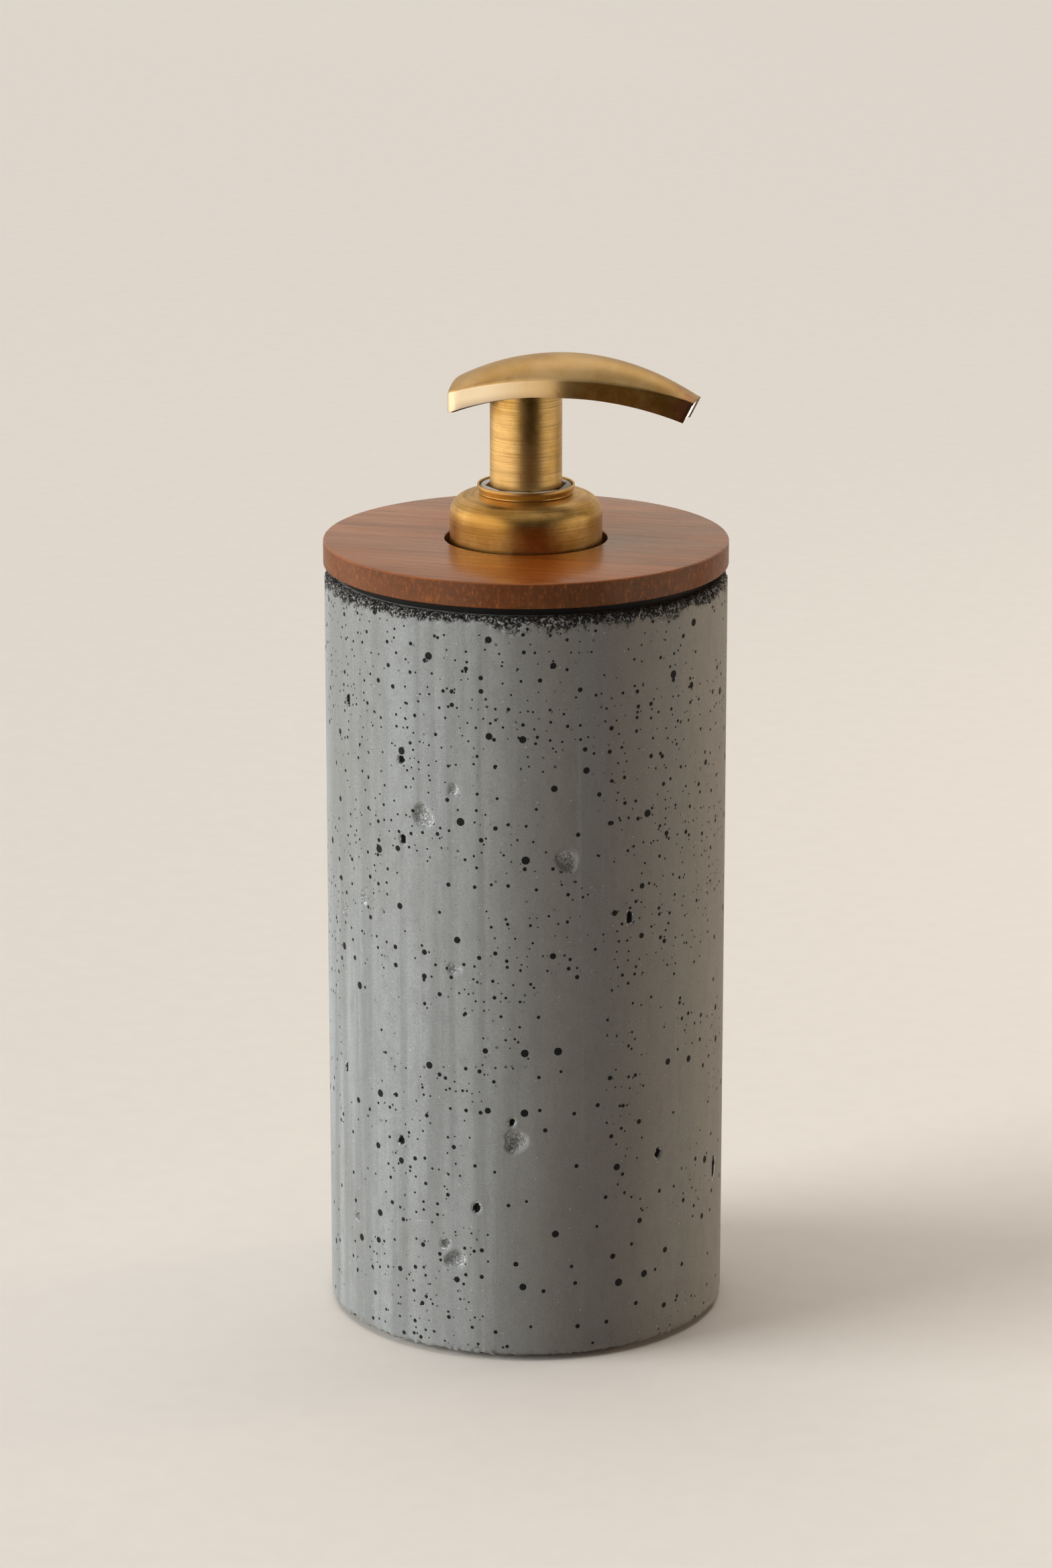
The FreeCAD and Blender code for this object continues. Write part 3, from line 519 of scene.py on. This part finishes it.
def dent_field(angle, height):
    """Depth in millimetres and darkness of the voids over grids of angle and height. The darkness is
    painted shade: it paints the deep voids black.
    """
    radius = BODY_HIGH[0]
    depth = np.zeros_like(angle)
    dark = np.zeros_like(angle)
    for k, (degrees, z, wide, tall, deep, shade_of) in enumerate(all_voids()):
        across = (angle - math.radians(degrees) + math.pi) % TAU - math.pi
        u, v = across * radius / wide, (height - z) / tall
        near = (np.abs(u) < 1.6) & (np.abs(v) < 1.6)
        turn = np.arctan2(v, u)
        wobble = 1 + 0.10 * np.sin(2 * turn + k) + 0.07 * np.sin(3 * turn + 2.3 * k)
        reach = np.sqrt(u * u + v * v) * wobble
        bowl = np.clip(1 - reach ** 2, 0, 1) ** 0.5
        depth = np.where(near, np.maximum(depth, deep * bowl), depth)
        # How dark the void is painted: painted shade inside it, strongest in the middle.
        stain_and_shade = shade_of * np.clip((1 - reach) * 5, 0, 1)
        dark = np.where(near, np.maximum(dark, stain_and_shade), dark)
    return depth, dark


def crumble_field(angle, height):
    """How broken the rim and the foot are, from 0 to 1, and the depth it takes away."""
    radius, top, foot = BODY_HIGH[0], BODY_HIGH[2], BODY_LOW[2]
    broken = np.zeros_like(angle)
    depth = np.zeros_like(angle)
    for i, j in np.argwhere((height > top - RIM_REACH) | (height < foot + FOOT_REACH)):
        a, z = angle[i, j], height[i, j]
        at = Vector((radius * math.cos(a), radius * math.sin(a), z))
        rough = noise.fractal(at * 0.9, 0.8, 2.0, 4)
        slow = noise.noise(at * 0.16)
        if z > top - RIM_REACH:
            band = 2.3 + 1.9 * slow + 1.2 * noise.noise(at * 0.6)
            share = min(max((z - (top - band)) / band, 0.0), 1.0)
            broken[i, j] = 0.0 if z < top - band - 1.2 else 0.35 + 0.65 * share
            depth[i, j] = share ** 0.6 * max(0.0, 0.35 + 0.9 * rough)
        else:
            band = max(0.4, 1.0 + 1.1 * slow)
            share = min(max((foot + band - z) / band, 0.0), 1.0)
            depth[i, j] = share * max(0.0, 0.45 + 0.9 * rough)
    return broken, depth


def cast_concrete():
    """The body as one closed turned mesh whose outer wall carries the voids and the broken rim."""
    foot, top, radius = BODY_LOW[2], BODY_HIGH[2], BODY_HIGH[0]
    wall = [(radius, z) for z in np.linspace(foot + FOOT_ROUND, top - RIM_ROUND, BODY_ROWS)]
    ease = [(radius - RIM_ROUND * (1 - math.cos(t)), top - RIM_ROUND * (1 - math.sin(t)))
            for t in np.linspace(0, math.pi / 2, 7)[1:]]
    heel = [(radius - FOOT_ROUND * (1 - math.cos(t)), foot + FOOT_ROUND * (1 - math.sin(t)))
            for t in np.linspace(math.pi / 2, 0, 5)[:-1]]
    bore = [(radius - k, top) for k in (2.5, 4.5, 6.5, 8.3)]
    inside = [(CAVITY_R, z) for z in (top - 0.7, top - 3, 110, 60, CAVITY_FLOOR + 0.4)]
    inside += [(r, CAVITY_FLOOR) for r in (CAVITY_R - 0.5, 20, 8, 1)]
    under = [(r, PAD_TOP) for r in (1, 12, 24, RECESS_R - 0.3)]
    under += [(RECESS_R, z) for z in (PAD_TOP - 0.3, foot)]
    profile = np.array(under + heel + wall + ease + bore + inside)
    rows = len(profile)
    angles = np.arange(BODY_COLUMNS) * TAU / BODY_COLUMNS
    angle, r = np.meshgrid(angles, profile[:, 0])
    height = np.repeat(profile[:, 1:2], BODY_COLUMNS, 1)
    outer = slice(len(under), len(under + heel + wall + ease))
    depth, dark = dent_field(angle[outer], height[outer])
    broken, wear_and_shade = crumble_field(angle[outer], height[outer])
    r[outer] -= depth + wear_and_shade
    points = np.stack([r * np.cos(angle), r * np.sin(angle), height], 2).reshape(-1, 3)
    made = piece("cast_body", points, ring_faces(rows, BODY_COLUMNS, closed=False), 60.0)
    close_ends(made, rows, BODY_COLUMNS)
    for label, field in (("void", dark), ("rim", broken)):
        values = np.zeros((rows, BODY_COLUMNS))
        values[outer] = field
        layer = made.data.attributes.new(label, "FLOAT", "POINT")
        layer.data.foreach_set("value", values.ravel().astype(np.float32))
    return made


def close_ends(made, rows, columns):
    """Caps the first and the last row of a turned mesh that doesn't join up."""
    work = bmesh.new()
    work.from_mesh(made.data)
    work.verts.ensure_lookup_table()
    for row in (0, rows - 1):
        work.faces.new([work.verts[row * columns + j] for j in range(columns)])
    bmesh.ops.recalc_face_normals(work, faces=work.faces)
    work.to_mesh(made.data)
    work.free()
    shade(made.data, 60.0)


# ---- the lid, the collar and the sleeve ----------------------------------------------------------
def lid_disc():
    r, top, low = LID_HIGH[0], LID_HIGH[2], LID_LOW[2]
    profile = outline([
        (LID_HOLE_R, low, 0), (SPIGOT_R, low, 0.5), (SPIGOT_R, LID_BOTTOM, 0), (r, LID_BOTTOM, 0.3),
        (r, top, 0.45), (LID_HOLE_R, top, 0.35)])
    return settle(turned("lid_disc", profile, 320, 40.0))


def collar_cover():
    r, top, low = COLLAR_HIGH[0], COLLAR_HIGH[2], COLLAR_LOW[2]
    sheet, shoulder = COLLAR_SHEET, top - COLLAR_FALL
    profile = outline([
        (r, low, 0.15), (r, shoulder, COLLAR_ROUND), (COLLAR_HOLE_R, top, 0.12),
        (COLLAR_HOLE_R, top - sheet, 0.12), (r - sheet, shoulder - sheet, COLLAR_ROUND - sheet),
        (r - sheet, low, 0.15)], steps=12)
    return settle(turned("collar_cover", profile, 256, 40.0))


def lip_ring():
    seat, top = COLLAR_HIGH[2] + 0.02, RING_HIGH[2]
    neck_r, low = COLLAR_HOLE_R - 0.05, RING_LOW[2]
    profile = outline([
        (RING_BORE_R, low, 0), (neck_r, low, 0), (neck_r, seat, 0), (9.25, seat, 0.1),
        (9.22, seat + 0.35, 0.3), (9.62, RING_FLOOR + 0.95, 0.5), (9.66, top, 0.16),
        (9.25, top, 0.16), (9.15, RING_FLOOR, 0), (RING_BORE_R, RING_FLOOR, 0)], steps=5)
    return settle(turned("lip_ring", profile, 256, 50.0))


def brushed_tube():
    """The sleeve; its top edge follows the head's arched underside."""
    r, low = SLEEVE_HIGH[0], SLEEVE_LOW[2]
    lengths = np.linspace(low, SLEEVE_STRAIGHT_TOP, 12)
    bore = SLEEVE_BORE_R
    profile = [(bore, low + 0.1), (bore + 0.1, low), (r - 0.15, low), (r, low + 0.15)]
    profile += [(r, z) for z in lengths[1:]] + [(r, SLEEVE_TRIM), (bore, SLEEVE_TRIM)]
    made = turned("brushed_tube", profile, 192, 40.0)
    for vertex in made.data.vertices:
        if vertex.co.z > (SLEEVE_TRIM - 1.0) * MM:
            vertex.co.z = (arc_height(UNDER_ARC, vertex.co.x / MM - UNDER_SHIFT) - 0.03) * MM
    return settle(made)


# ---- the head ------------------------------------------------------------------------------------
def arc_height(arc, x):
    apex_x, apex_z, radius = arc
    return apex_z - radius + math.sqrt(radius ** 2 - (x - apex_x) ** 2)


def plan_half(x):
    """Half the head's width at x: a slow taper, a soft waist, a faster taper and rounded rear corners."""
    rear, tip = HEAD_LOW[0], HEAD_TIP_X
    slow = (HEAD_WAIST_HALF - HEAD_REAR_HALF) / (HEAD_WAIST_X - rear)
    fast = (HEAD_TIP_HALF - HEAD_WAIST_HALF) / (tip - HEAD_WAIST_X)
    d = x - HEAD_WAIST_X
    bend = math.hypot(d, HEAD_WAIST_SOFT)
    half = HEAD_WAIST_HALF + (slow + fast) / 2 * d - (slow - fast) / 2 * bend
    round_r = HEAD_REAR_ROUND
    into = x - rear
    if into < round_r:
        half -= round_r - math.sqrt(max(round_r ** 2 - (round_r - into) ** 2, 0.0))
    return half


def head_section(x, top_drop, lean):
    """Points across the head at station x, from one lower edge over the crown to the other."""
    def station(z):
        return x + lean * (z - HEAD_TIP_Z)

    def solve(arc, drop=0.0):
        z = arc_height(arc, x)
        for _ in range(6):
            z = arc_height(arc, station(z)) - drop
        return z

    under, crease, crown = solve(UNDER_ARC), solve(CREASE_ARC, top_drop), solve(CROWN_ARC, top_drop)
    half = plan_half(x)
    rise = max(crown - crease, 0.02)
    bend = (half ** 2 + rise ** 2) / (2 * rise)
    ease = 0.22
    side = [(half, under), (half, under + 0.45 * (crease - under)), (half, crease - 2 * ease),
            (half, crease - ease), (half - 0.08, crease - 0.25 * ease)]
    over = []
    for share in (0.965, 0.93, 0.86, 0.76, 0.64, 0.52, 0.4, 0.27, 0.13, 0.0):
        y = half * share
        over.append((y, crown - bend + math.sqrt(bend ** 2 - y ** 2)))
    right = side + over
    full = [(-y, z) for y, z in right] + right[-2::-1]
    return [(station(z), y, z) for y, z in full]


def head_cover():
    """The brass shell as an open surface given its wall thickness, then slightly eased edges."""
    rear = HEAD_LOW[0]
    round_r, edge_r = HEAD_REAR_ROUND, HEAD_REAR_EDGE
    early = [rear + round_r * (1 - math.cos(t)) for t in np.linspace(0, math.pi / 2, 12)]
    late = list(np.linspace(rear + round_r, HEAD_TIP_X, 44)[1:])
    lean_full = math.tan(math.radians(HEAD_TIP_DROP_DEG))
    sections = []
    for x in early + late:
        into = x - rear
        drop = edge_r - math.sqrt(edge_r ** 2 - (edge_r - into) ** 2) if into < edge_r else 0.0
        share = min(max((x - HEAD_LEAN_FROM_X) / (HEAD_TIP_X - HEAD_LEAN_FROM_X), 0.0), 1.0)
        sections.append(head_section(x, drop, lean_full * share))
    across = len(sections[0])
    points = [p for section in sections for p in section]
    faces = []
    for s in range(len(sections) - 1):
        a, b = s * across, (s + 1) * across
        faces += [(a + j, a + j + 1, b + j + 1, b + j) for j in range(across - 1)]
    middle = across // 2
    for j in range(middle):
        k = across - 1 - j
        if k - j > 2:
            faces.append((j + 1, j, k, k - 1))
        else:
            faces.append((j + 1, j, k))
    made = piece("head_cover", points, faces, 30.0)
    settle(made)
    wall = made.modifiers.new("wall", "SOLIDIFY")
    wall.thickness, wall.offset, wall.use_even_offset = HEAD_WALL * MM, -1.0, True
    ease = made.modifiers.new("ease", "BEVEL")
    ease.width, ease.segments, ease.limit_method = HEAD_EDGE_EASE * MM, 2, "ANGLE"
    ease.angle_limit = math.radians(50)
    settle(made)
    shade(made.data, 30.0)
    return made


# ---- the return spring ---------------------------------------------------------------------------
def coil_spring():
    """A helix of round wire, with flat closed ends left plain."""
    low, high = SPRING_LOW[2] + SPRING_WIRE_R, SPRING_HIGH[2] - SPRING_WIRE_R
    steps, sides = int(SPRING_TURNS * 40), 12
    points = []
    for s in range(steps + 1):
        a = TAU * SPRING_TURNS * s / steps
        z = low + (high - low) * s / steps
        for k in range(sides):
            t = TAU * k / sides
            r = SPRING_R + SPRING_WIRE_R * math.cos(t)
            points.append((r * math.cos(a), r * math.sin(a), z + SPRING_WIRE_R * math.sin(t)))
    faces = ring_faces(steps + 1, sides, closed=False)
    faces += [tuple(range(sides)), tuple(range(steps * sides, (steps + 1) * sides))]
    return settle(piece("coil_spring", points, faces, 60.0))


# ---- dressing the frame --------------------------------------------------------------------------
def add(made, body, node, material):
    """Puts a finished piece on its body in place of its CAD node."""
    coat(made, material)
    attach(made, body)
    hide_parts(node)
    return made


brushed = brass_finish("brushed_brass", rgb(226, 191, 128), rgb(192, 150, 82), brushed=0.8)
collar_brass = brass_finish("collar_brass", rgb(224, 186, 120), rgb(188, 145, 76), brushed=0.35)
head_brass = brass_finish("head_brass", rgb(214, 184, 136), rgb(192, 156, 100), sides=True)

add(cast_concrete(), "dispenser", "concrete_body", concrete_finish())
add(lid_disc(), "lid", "wooden_lid", wood_finish())
add(collar_cover(), "closure", "collar_shell", collar_brass)
add(lip_ring(), "closure", "collar_ring", collar_brass)
add(brushed_tube(), "head", "stem_sleeve", brushed)
add(head_cover(), "head", "head_shell", head_brass)
spring = add(coil_spring(), "pump_engine", "return_spring", steel_finish())
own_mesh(spring)

white_plastic = plastic_finish("natural_plastic", rgb(232, 232, 228))
CARRIED = {
    "base_pad": rubber_finish("foot_rubber", rgb(30, 30, 31)),
    "lid_seal": rubber_finish("seal_rubber", rgb(14, 14, 15)),
    "liner_bottle": plastic_finish("milky_plastic", rgb(226, 227, 222), 0.5),
    "closure_cap": white_plastic,
    "pump_housing": white_plastic,
    "pump_stem": white_plastic,
    "piston_rod": white_plastic,
    "piston": plastic_finish("soft_plastic", rgb(238, 238, 235), 0.6),
    "neck_gasket": rubber_finish("gasket_foam", rgb(214, 214, 208)),
    "stem_guide": plastic_finish("guide_plastic", rgb(214, 216, 218), 0.35),
    "dip_tube": plastic_finish("tube_plastic", rgb(228, 232, 230), 0.3, see_through=0.3),
    "inlet_ball": plastic_finish("ball_glass", rgb(206, 222, 222), 0.08, see_through=0.8, mottle=0.03),
    "actuator_core": plastic_finish("core_plastic", rgb(30, 27, 25), 0.5),
    # The nozzle tip glows a little: a painted highlight for the glare on its end face.
    "nozzle_tip": plastic_finish("nozzle_plastic", rgb(236, 243, 246), 0.15, mottle=0.04, painted_glow=0.5)}
for node, material in CARRIED.items():
    coat(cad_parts[node], material)


# ---- the studio ----------------------------------------------------------------------------------
def from_camera(right, toward, up):
    """A point given across the picture, towards the camera and up, in metres."""
    a = CAMERA_AZIMUTH
    x = right * math.cos(a) + toward * math.sin(a)
    y = right * math.sin(a) - toward * math.cos(a)
    return Vector((x, y, up))


def floor():
    """A wide flat sheet of pale paper. Mirror-like rays pass it and see the studio's cards instead."""
    columns = 96
    angles = np.arange(columns) * TAU / columns
    points = [(0.0, 0.0, 0.0)]
    for r in (0.3, 1.0, 4.0, 20.0):
        points += [(r * math.cos(a) / MM, r * math.sin(a) / MM, 0.0) for a in angles]
    faces = [(0, 1 + j, 1 + (j + 1) % columns) for j in range(columns)]
    faces += [tuple(k + 1 for k in face) for face in ring_faces(4, columns, closed=False)]
    made = piece("floor_paper", points, faces, 60.0)
    coat(made, floor_finish())
    made.visible_glossy = False


def area(name, at, aim, width, height, watts, colour):
    lamp = bpy.data.lights.new(name, "AREA")
    lamp.shape, lamp.size, lamp.size_y = "RECTANGLE", width, height
    lamp.energy, lamp.color = watts, colour
    made = bpy.data.objects.new(name, lamp)
    made.location = at
    made.rotation_euler = (aim - at).to_track_quat("-Z", "Y").to_euler()
    bpy.context.scene.collection.objects.link(made)
    return made


def sky():
    """A dim room. Reflections see a pale wall behind, cards left and right, and a dark camera side."""
    world = bpy.data.worlds.new("studio")
    bpy.context.scene.world = world
    world.use_nodes = True
    tree = world.node_tree

    def node(kind, inputs, **settings):
        made = tree.nodes.new("ShaderNode" + kind)
        for label, value in settings.items():
            setattr(made, label, value)
        for label, value in inputs.items():
            if isinstance(value, bpy.types.NodeSocket):
                tree.links.new(value, made.inputs[label])
            else:
                made.inputs[label].default_value = value
        return made

    def facing(direction, low, high, bright):
        """How much of a card a direction sees: 0 below low, bright above high."""
        dot = node("VectorMath", {0: sight, 1: direction.normalized()}, operation="DOT_PRODUCT")
        card = node("MapRange", {"Value": dot.outputs["Value"], "From Min": low, "From Max": high,
                                 "To Min": 0.0, "To Max": bright}, interpolation_type="SMOOTHSTEP")
        return card.outputs["Result"]

    sight = node("TexCoord", {}).outputs["Generated"]
    cards = [facing(from_camera(-1, 0.25, -0.05), 0.5, 0.82, LEFT_CARD),
             facing(from_camera(1, 0.18, -0.1), 0.78, 0.92, RIGHT_CARD),
             facing(from_camera(0, -1, 0.25), 0.2, 0.6, BACK_CARD),
             facing(Vector((0, 0, 1)), 0.45, 0.8, TOP_CARD)]
    light = ROOM_REFLECTED
    for card in cards:
        light = node("Math", {0: light, 1: card}, operation="ADD").outputs[0]
    path = node("LightPath", {})
    glossy = {"Factor": path.outputs["Is Glossy Ray"], "A": ROOM_LIGHT, "B": light}
    seen_by_gloss = node("Mix", glossy, data_type="FLOAT").outputs[0]
    camera_ray = {"Factor": path.outputs["Is Camera Ray"], "A": seen_by_gloss, "B": WALL_SHOWN}
    shown = node("Mix", camera_ray, data_type="FLOAT").outputs[0]
    back = tree.nodes["Background"]
    back.inputs["Color"].default_value = ROOM_COLOUR
    tree.links.new(shown, back.inputs["Strength"])


def sun(name, toward, angle, strength, colour):
    lamp = bpy.data.lights.new(name, "SUN")
    lamp.angle, lamp.energy, lamp.color = math.radians(angle), strength, colour
    made = bpy.data.objects.new(name, lamp)
    made.rotation_euler = (-toward).to_track_quat("-Z", "Y").to_euler()
    bpy.context.scene.collection.objects.link(made)
    return made


def camera():
    lens = bpy.data.cameras.new("camera")
    lens.lens, lens.sensor_width, lens.clip_start = CAMERA_LENS, 36.0, 0.01
    made = bpy.data.objects.new("camera", lens)
    made.location = from_camera(0.0, CAMERA_DISTANCE, CAMERA_HEIGHT)
    made.rotation_euler = (math.pi / 2 - CAMERA_PITCH, 0, CAMERA_AZIMUTH)
    bpy.context.scene.collection.objects.link(made)
    bpy.context.scene.camera = made


floor()
middle = Vector((0, 0, 0.1))
key_from, overhead_from = from_camera(-0.94, 0.2, 0.26), from_camera(-0.05, -0.15, 1.0)
left_key = sun("left_key", key_from, KEY_ANGLE, KEY_STRENGTH, KEY_COLOUR)
overhead = sun("overhead", overhead_from, OVERHEAD_ANGLE, OVERHEAD_STRENGTH, OVERHEAD_COLOUR)
left_key.visible_glossy = overhead.visible_glossy = False
strip_at = from_camera(0.8, -0.32, 0.08)
right_strip = area("right_strip", strip_at, middle, STRIP_WIDTH, STRIP_HEIGHT, STRIP_WATTS, STRIP_COLOUR)
right_strip.visible_glossy = False
sky()
camera()
bpy.context.scene.view_settings.view_transform = "Standard"
